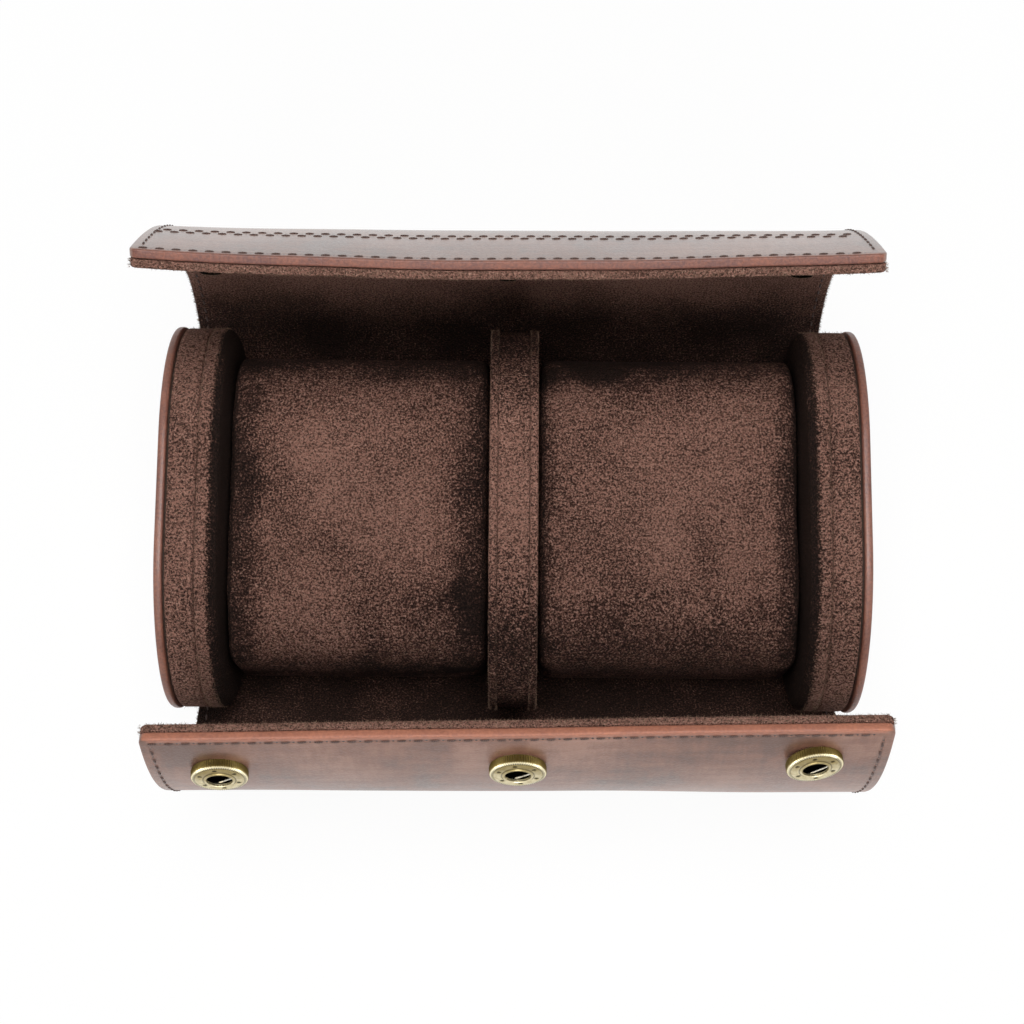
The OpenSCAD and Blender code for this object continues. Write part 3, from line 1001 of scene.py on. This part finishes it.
case_piece(
    "divider_rim_band", "divider_rim", 1, (-DIVIDER_X[0], DIVIDER_X[0]), DIVIDER_BAND_INSET,
    ((-DIVIDER_X[0], 0.0005), (DIVIDER_X[0], 0.0005)), suede_panel,
)
for end, sign in (("left", -1), ("right", 1)):
    case_piece(
        "divider_face_" + end + "_suede", "divider_face_" + end, sign, DIVIDER_X, 0.0,
        ((DIVIDER_X[0], 0.0004), (DIVIDER_X[1], 0.0006)), suede_panel,
    )
    edge_fibres("divider_fibres_" + end, sign, DIVIDER_FIBRES)


# Panel cores
# Dense brown board inside the end panels and the divider. Once they are covered it shows only
# as a dark line in the groove beside each disc.
paint = Paint("panel_core")
grain = paint.cloud(paint.here(), 0.0012, 3.0)
core = paint.two_tone(grain, "#2a1f19", "#3d2f26", 0.85, 0.95, Normal=paint.bump(grain, 0.0001))
for node in ("end_core_left", "end_core_right", "divider_core"):
    materials = frame["nodes"][node].data.materials
    materials.clear()
    materials.append(core)


# Watch pillows
# A foam block in a sewn suede cover, one in each compartment, lifted out to strap a watch
# around it. The cover is stuffed a little full, so each side is softly crowned.
PILLOW_X = (0.0057, 0.0616)
PILLOW_Y = (-0.0345, 0.0355)
PILLOW_Z = (0.0039, 0.0534)
PILLOW_TOP_R = 0.014
PILLOW_BOTTOM_R = 0.022
PILLOW_SHRINK = 0.0002
PILLOW_SWELL = (0.0004, 0.0002)
FOAM_INSET = 0.0034
PILLOW_EDGE = 0.0008
PILLOW_VOXEL = 0.0015
STUFFING_STEPS = 20
STUFFING_PRESSURE = 4
# Patches on each pillow's top: x, y and the two half widths of a patch in millimetres, and
# how much paler it is, or darker where that is negative. The long dark bands along the edges
# are painted shade; the other patches are brushed pile.
PATCHES_AND_EDGE_SHADE = {
    "left": (
        (-43.6, 12.4, 9, 13, 0.42), (-27, 2, 17, 20, 0.26), (-45, -18, 11, 22, 0.18),
        (-61, 0, 8, 60, -0.80), (-33, 35, 60, 10, -0.75), (-6, 0, 9, 60, -0.70),
        (-15, -27, 22, 14, -0.45), (-40, -9, 5, 4, -0.15), (-34, -37, 60, 6, -0.55),
    ),
    "right": (
        (35, 9, 24, 19, 0.22), (33.6, -11, 8, 9, 0.26), (50, -9, 9, 12, 0.12),
        (20, 33, 22, 9, -0.60), (62, 0, 6, 60, -0.75), (33, 36, 60, 11, -0.85),
        (33, -35, 60, 15, -0.45), (5, 0, 5, 60, -0.50), (41, -14, 4, 8, -0.15),
    ),
}
RIB_PITCH = 0.00095


def pillow_block(name, sign, inset):
    """A block with the pillow's outline, smaller by inset on each side."""
    ranges = [(low + inset, high - inset) for low, high in (PILLOW_X, PILLOW_Y, PILLOW_Z)]
    middle = [sum(pair) / 2 for pair in ranges]
    middle[0] *= sign
    piece = bare_primitive(bpy.ops.mesh.primitive_cube_add, size=1, location=middle)
    piece.name = name
    piece.scale = [high - low for low, high in ranges]
    settle(piece)
    for z, radius in ((ranges[2][1], PILLOW_TOP_R), (ranges[2][0], PILLOW_BOTTOM_R)):
        level = both_at(2, z)
        pick_edges(piece, lambda a, b: level(a, b) and abs(a.x - b.x) > 0.01)
        bpy.ops.mesh.bevel(offset=radius - inset, segments=10, affect="EDGES")
        close_edit()
    for x in ranges[0]:
        round_edge(piece, sign * x, PILLOW_EDGE)
    return piece


def stuffed(piece):
    """Fills a block as a sewn cover: cloth blown out by pressure, and then subdivided once. A
    point may move out by the first limit of PILLOW_SWELL and in by the second."""
    only(piece)
    remesh = piece.modifiers.new("cover", "REMESH")
    remesh.mode, remesh.voxel_size = "VOXEL", PILLOW_VOXEL
    bpy.ops.object.modifier_apply(modifier=remesh.name)
    before = [(vertex.co.copy(), vertex.normal.copy()) for vertex in piece.data.vertices]
    cloth = piece.modifiers.new("stuffing", "CLOTH")
    cloth.settings.use_pressure = True
    cloth.settings.uniform_pressure_force = STUFFING_PRESSURE
    cloth.settings.effector_weights.gravity = 0
    cloth.point_cache.frame_start, cloth.point_cache.frame_end = 1, STUFFING_STEPS
    for step in range(1, STUFFING_STEPS + 1):
        bpy.context.scene.frame_set(step)
    blown = piece.evaluated_get(bpy.context.evaluated_depsgraph_get())
    after = [vertex.co.copy() for vertex in blown.data.vertices]
    piece.modifiers.remove(cloth)
    outward, inward = PILLOW_SWELL
    for vertex, (was, out), now in zip(piece.data.vertices, before, after):
        move = now - was
        limit = outward if move.dot(out) > 0 else inward
        vertex.co = was + move * min(1.0, limit / max(move.length, 1e-9))
    bpy.context.scene.frame_set(1)
    finer = piece.modifiers.new("finer", "SUBSURF")
    finer.levels = finer.render_levels = 1
    bpy.ops.object.modifier_apply(modifier=finer.name)


def pillow_paint(end):
    paint = Paint("suede_pillow_" + end)
    here = paint.here()
    x, y = here.part(0), here.part(1)
    wobble = paint.cloud(here, 0.009, 3.0, 0.6) - 0.5
    tone = paint.cloud(here, 0.014, 3.0, 0.55) * 0.30 + 0.48
    # Painted shade in the long dark bands along the edges; brushed pile in the other patches
    for px, py, half_x, half_y, paler in PATCHES_AND_EDGE_SHADE[end]:
        dx, dy = (x - px / 1000) / (half_x / 1000), (y - py / 1000) / (half_y / 1000)
        reach = (dx * dx + dy * dy).root() + wobble * 0.45
        tone = tone + reach.ramp(1.15, 0.25) * paler
    bent = y + wobble * 0.0006
    ribs = ((bent / RIB_PITCH).fraction() - 0.5).size() * 2.0
    seam = (x.size() - (PILLOW_X[1] - PILLOW_EDGE)).size().least(
        (x.size() - (PILLOW_X[0] + PILLOW_EDGE)).size()
    ).ramp(0.0005, 0.0001)
    return suede_finish(paint, here, tone + (ribs - 0.5) * 0.10 - seam * 0.3, 1.25)


paint = Paint("pillow_foam")
bubbles = paint.cells(paint.here(), 0.0008)
normal = paint.bump(bubbles, 0.0002)
pillow_foam = paint.two_tone(bubbles, "#cfc8b6", "#e2dccb", 0.9, 0.95, Normal=normal)
for end, sign in (("left", -1), ("right", 1)):
    pillow = pillow_block("pillow_" + end + "_suede", sign, PILLOW_SHRINK)
    stuffed(pillow)
    pillow.data.materials.append(pillow_paint(end))
    smooth(pillow, 60)
    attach(pillow, "pillow_" + end)
    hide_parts("pillow_" + end + "_cover")
    foam = pillow_block("pillow_" + end + "_foam_block", sign, FOAM_INSET)
    foam.data.materials.append(pillow_foam)
    smooth(foam, 60)
    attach(foam, "pillow_" + end)
    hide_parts("pillow_" + end + "_foam")


# Snap fasteners
# Three wire-spring snaps of antique brass hold the flaps shut. Each socket, with its reeded
# rim and pricked face, is clamped to the front lip, and each stud to the back lip's lining.
SOCKET_INSET = 0.0115
STUD_INSET = 0.0112
# Each snap is set by hand, a little off its mark: its x, how far its socket is moved up the
# flap, and its socket's tilt and roll in degrees
SNAPS = ((-0.0587, -0.0012, -5, 1), (0.0, -0.0001, -2, 0), (0.0581, 0.0012, -2, 5))
STUD_BASE = 0.00063
SOCKET_SIDES = 144
REED_BAND = (0.00055, 0.00220)
REED_DEPTH = 0.00022
REED_INSIDE = 0.0052
DIMPLE_RING = 0.0040
DIMPLE_FIRST = math.radians(38)
DIMPLE_RADIUS = 0.00060
DIMPLE_DEPTH = 0.00034
# Half sections, as radius and height in millimetres
SOCKET_SECTION = (
    (5.2, 0.0), (5.6, 0.3), (5.72, 0.55), (5.72, 1.25), (5.72, 1.75), (5.55, 2.02), (5.3, 2.16),
    (5.1, 2.16), (4.9, 2.20), (4.6, 2.29), (4.3, 2.35), (4.0, 2.37), (3.7, 2.36), (3.45, 2.32),
    (3.25, 2.30), (3.12, 2.38), (3.02, 2.54), (2.88, 2.6), (2.74, 2.58), (2.62, 2.46),
    (2.6, 1.9), (4.4, 1.8), (4.4, 0.5),
)
EYELET_SECTION = (
    (4.5, -2.15), (4.5, -1.9), (1.7, -1.85), (1.7, 0.42), (2.35, 0.42), (2.35, 0.66), (1.2, 0.7),
)
STUD_SECTION = (
    (4.6, -0.45), (5.05, -0.3), (5.1, -0.15), (4.8, 0.0), (1.9, 0.04), (1.6, 0.3), (1.5, 0.6),
    (1.5, 1.5), (2.1, 1.62), (2.2, 1.75), (2.15, 1.9), (1.9, 2.0),
)
RIVET_SECTION = ((4.5, -2.3), (4.5, -2.05), (1.7, -2.0), (1.7, -0.5))
WIRE_RADIUS = 0.00022
WIRE_HALF = 0.0036
WIRE_APART = 0.00195
WIRE_HEIGHT = 0.00160
BAR_Y = WIRE_HALF - 0.0004
WIRE_TURN = math.radians(35)


def turned(name, section, sides):
    """A round part turned from its half section, closed across both ends."""
    steps = [((0, 0, z / 1000), radius / 1000) for radius, z in section]
    return drawn_out(name, sides, steps)


def socket_model():
    """The socket: its rim is reeded and its face pricked with six dimples."""
    piece = turned("socket", SOCKET_SECTION, SOCKET_SIDES)
    step = 2 * math.pi / SOCKET_SIDES
    for vertex in piece.data.vertices:
        co = vertex.co
        radius, angle = math.hypot(co.x, co.y), math.atan2(co.y, co.x)
        if radius > REED_INSIDE and REED_BAND[0] - 1e-5 < co.z < REED_BAND[1]:
            if round(angle / step) % 2:
                co.x *= 1 - REED_DEPTH / radius
                co.y *= 1 - REED_DEPTH / radius
        for prick in range(6):
            at = DIMPLE_FIRST + prick * math.pi / 3
            away = math.hypot(co.x - DIMPLE_RING * math.cos(at), co.y - DIMPLE_RING * math.sin(at))
            if away < DIMPLE_RADIUS and co.z > 0.0022:
                co.z -= DIMPLE_DEPTH * (1 - (away / DIMPLE_RADIUS) ** 2)
    record(piece, "own", Vector)
    smooth(piece, 35)
    return piece


def spring_model():
    """The two wires that grip a stud's neck, with a bar across."""
    def wire(start, end, radius, rotation):
        steps = [((x, y, WIRE_HEIGHT), radius) for x, y in (start, end)]
        return drawn_out("wire", 8, steps, rotation)

    piece = joined("spring", [
        wire((-WIRE_APART, -WIRE_HALF), (-WIRE_APART, WIRE_HALF), WIRE_RADIUS, (math.pi / 2, 0, 0)),
        wire((WIRE_APART, -WIRE_HALF), (WIRE_APART, WIRE_HALF), WIRE_RADIUS, (math.pi / 2, 0, 0)),
        wire((-WIRE_APART, BAR_Y), (WIRE_APART, BAR_Y), 0.9 * WIRE_RADIUS, (0, math.pi / 2, 0)),
    ])
    piece.data.transform(Matrix.Rotation(WIRE_TURN - math.pi / 2, 4, "Z"))
    record(piece, "own", Vector)
    smooth(piece, 60)
    return piece


def plain_model(name, section):
    piece = turned(name, section, 48)
    record(piece, "own", Vector)
    smooth(piece, 35)
    return piece


def brass_paint():
    """Antique brass: rubbed bright on its high edges, dark olive where the patina has stayed. Its
    upper side is painted darker and its hole near black, painted shade, and its reed notches,
    groove and dimples dark, patina with painted shade.
    """
    paint = Paint("antique_brass")
    own = paint.add("ShaderNodeAttribute", output=1, attribute_name="own")
    here = paint.here()
    x, y, z = own.part(0), own.part(1), own.part(2)
    radius, angle = (x * x + y * y).root(), x.maths("ARCTAN2", y, x)
    patina = paint.cloud(here, 0.0011, 4.0, 0.6)
    scratches = paint.cloud(here.stretched(1.0, 0.15, 1.0), 0.00035, 2.0)
    side_wall = radius.ramp(0.0052, 0.0056) * z.ramp(0.0020, 0.0017)
    chamfer = radius.ramp(0.0050, 0.0052) * (1.0 - side_wall)
    reeds = ((angle * (SOCKET_SIDES / 4 / math.pi)).fraction() - 0.5).size()
    face = z.ramp(0.0017, 0.0019)
    dots = reeds.ramp(0.16, 0.30) * (radius - 0.00510).size().ramp(0.00032, 0.00018) * face
    sixth = math.pi / 3
    pricks = ((angle - DIMPLE_FIRST) / sixth + 0.5).fraction() - 0.5
    aside, beyond = pricks * (sixth * DIMPLE_RING), radius - DIMPLE_RING
    dimples = (aside * aside + beyond * beyond).root().ramp(DIMPLE_RADIUS, 0.00030) * face
    # Painted shade: the inside of the socket's hole is painted near black
    hollow = radius.ramp(0.0047, 0.0045) * z.ramp(0.0021, 0.0019)
    groove = (radius - 0.00325).size().ramp(0.00018, 0.00006) * face
    # Painted shade: each part's upper side is painted darker
    shaded = y.ramp(-0.0015, 0.0035)
    body = paint.mix(patina * 0.4 + scratches * 0.2, colour("#e6dbb8"), colour("#97834d"))
    body = paint.mix(shaded * 0.75, body, colour("#7f6b2f"))
    body = paint.mix(chamfer * 0.8, body, colour("#efe5c4"))
    body = paint.mix(side_wall * 0.85, body, colour("#5d4f24"))
    # Patina and painted shade in the reed notches, the groove and the dimples
    body = paint.mix((dots * 0.85).most(groove * 0.6).most(dimples * 0.9), body, colour("#2a220f"))
    body = paint.mix(hollow, body, colour("#0d0a07"))
    paint.set(
        Base_Color=body,
        Metallic=1.0,
        Roughness=0.30 + patina * 0.15 + side_wall * 0.15 + hollow * 0.4,
        Normal=paint.bump(patina * 0.6 + scratches * 0.4, 0.00004),
    )
    return paint.material


antique_brass = brass_paint()
paint = Paint("spring_wire")
drawn = paint.cloud(paint.here(), 0.0006)
spring_wire = paint.two_tone(drawn, "#b8b2a4", "#e4ded0", 0.22, 0.32, Metallic=1.0)
lip_seats = [
    seat("front", x, FLAP_LENGTH["front"] - SOCKET_INSET + up, WRAP_THICKNESS)
    @ Matrix.Rotation(math.radians(tilt), 4, "X") @ Matrix.Rotation(math.radians(roll), 4, "Y")
    for x, up, tilt, roll in SNAPS
]
stud_seats = [
    seat("back", x, FLAP_LENGTH["back"] - STUD_INSET, 0.0, inward=True)
    @ Matrix.Translation((0, 0, STUD_BASE)) for x, _, _, _ in SNAPS
]
front, back = (lip_seats, "front_lip"), (stud_seats, "back_lip")
brass, wire = (antique_brass, "antique_brass"), (spring_wire, "spring_wire")
for name, model, (seats, body), (finish, slot) in (
    ("snap_sockets", socket_model(), front, brass),
    ("snap_springs", spring_model(), front, wire),
    ("snap_eyelets", plain_model("eyelet", EYELET_SECTION), front, brass),
    ("snap_studs", plain_model("stud", STUD_SECTION), back, brass),
    ("snap_stud_rivets", plain_model("rivet", RIVET_SECTION), back, brass),
):
    model.data.materials.append(finish)
    piece = joined(name + "_turned", [copy_at(model, place) for place in seats])
    discard(model)
    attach(piece, body)
    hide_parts(name)


# Studio
# A pale floor, soft light from above and a white surround, seen by a camera that looks down
# on the open case from just in front of it.
CAMERA_PLACE = (0.00035, -0.0964, 0.5176)
CAMERA_TILT = math.radians(11.5)
CAMERA_ROLL = math.radians(0.43)
CAMERA_LENS = 77.3
FLOOR_GLOW = 0.93
WORLD_GLOW = 0.04
LAMP_TARGET = (0, 0, 0.05)
# Lamps: name, place, width and power
LAMPS = (
    ("overhead", (0.0, 0.0, 1.4), 0.7, 17.0),
    ("front_softbox", (0.0, -1.1, 1.0), 0.9, 7.5),
    ("left_fill", (-1.5, -0.3, 0.2), 0.3, 1.2),
    ("right_fill", (1.5, -0.3, 0.2), 0.3, 1.2),
)

floor = bare_primitive(bpy.ops.mesh.primitive_plane_add, size=6, location=(0, 0, 0))
floor.name = "studio_floor"
floor_paint = Paint("studio_floor")
floor_paint.set(Base_Color=colour("#f6f6f4"), Roughness=0.9, Specular_IOR_Level=0.1)
rays = floor_paint.tree.nodes.new("ShaderNodeLightPath")
seen = Field(floor_paint, rays.outputs["Is Camera Ray"]) + Field(
    floor_paint, rays.outputs["Is Glossy Ray"]
) + Field(floor_paint, rays.outputs["Is Transmission Ray"])
glow = floor_paint.add("ShaderNodeEmission", {"Color": (1, 1, 1, 1), "Strength": 1.0})
lit = Field(floor_paint, floor_paint.shader.outputs[0])
mixed = floor_paint.add("ShaderNodeMixShader", {0: seen.least(1.0) * FLOOR_GLOW, 1: lit, 2: glow})
floor_paint.tree.links.new(
    mixed.socket, floor_paint.tree.nodes["Material Output"].inputs["Surface"]
)
floor.data.materials.append(floor_paint.material)

world = bpy.data.worlds.new("studio")
bpy.context.scene.world = world
world.use_nodes = True
tree = world.node_tree
rays = tree.nodes.new("ShaderNodeLightPath")
either = tree.nodes.new("ShaderNodeMath")
either.operation = "MAXIMUM"
tree.links.new(rays.outputs["Is Camera Ray"], either.inputs[0])
tree.links.new(rays.outputs["Is Glossy Ray"], either.inputs[1])
level = tree.nodes.new("ShaderNodeMapRange")
level.inputs[3].default_value = WORLD_GLOW
level.inputs[4].default_value = 1.0
tree.links.new(either.outputs[0], level.inputs[0])
tree.links.new(level.outputs[0], tree.nodes["Background"].inputs["Strength"])
tree.nodes["Background"].inputs["Color"].default_value = (1, 1, 1, 1)

for name, place, width, power in LAMPS:
    light = bpy.data.lights.new(name, "AREA")
    light.size, light.energy = width, power
    lamp = bpy.data.objects.new(name, light)
    bpy.context.scene.collection.objects.link(lamp)
    lamp.location = place
    aim = Vector(LAMP_TARGET) - Vector(place)
    lamp.rotation_euler = aim.to_track_quat("-Z", "Y").to_euler()

camera = bpy.data.objects.new("camera", bpy.data.cameras.new("camera"))
bpy.context.scene.collection.objects.link(camera)
camera.location = CAMERA_PLACE
camera.rotation_euler = (CAMERA_TILT, 0, CAMERA_ROLL)
camera.data.lens = CAMERA_LENS
camera.data.clip_start = 0.01
bpy.context.scene.camera = camera
bpy.context.scene.view_settings.view_transform = "Standard"
